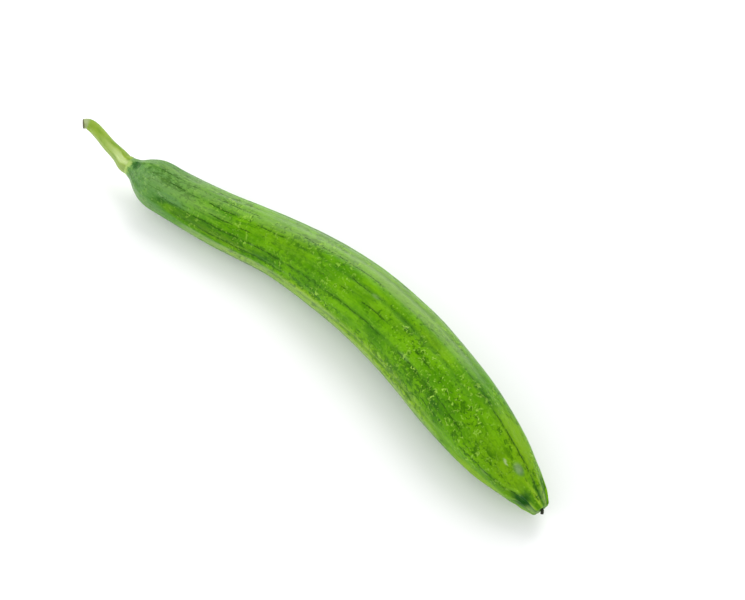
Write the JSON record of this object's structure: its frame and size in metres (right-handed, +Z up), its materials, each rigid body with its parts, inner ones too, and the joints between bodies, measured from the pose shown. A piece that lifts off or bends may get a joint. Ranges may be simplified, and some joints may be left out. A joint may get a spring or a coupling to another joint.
{
  "type": "sponge gourd",
  "caption": "Smooth sponge gourd as picked: a long, slightly bowed green fruit with low ribs, a fluted cut stem and a dried flower remnant, lying on its side.",
  "frame": {"origin": "on the surface the gourd lies on, under the middle of its bounding box", "axes": "+X along the gourd from the stem's cut end to the blossom end, +Z up, +Y towards the outside of the bow"},
  "size_m": [0.3712, 0.0602, 0.0439],
  "materials": {
    "gourd_skin": "satin",
    "stem_skin": "satin",
    "dried_flower": "matte"
  },
  "bodies": {
    "root": {"fruit": "gourd_skin", "stem": "stem_skin", "flower_stub": "dried_flower"}
  },
  "joints": []
}
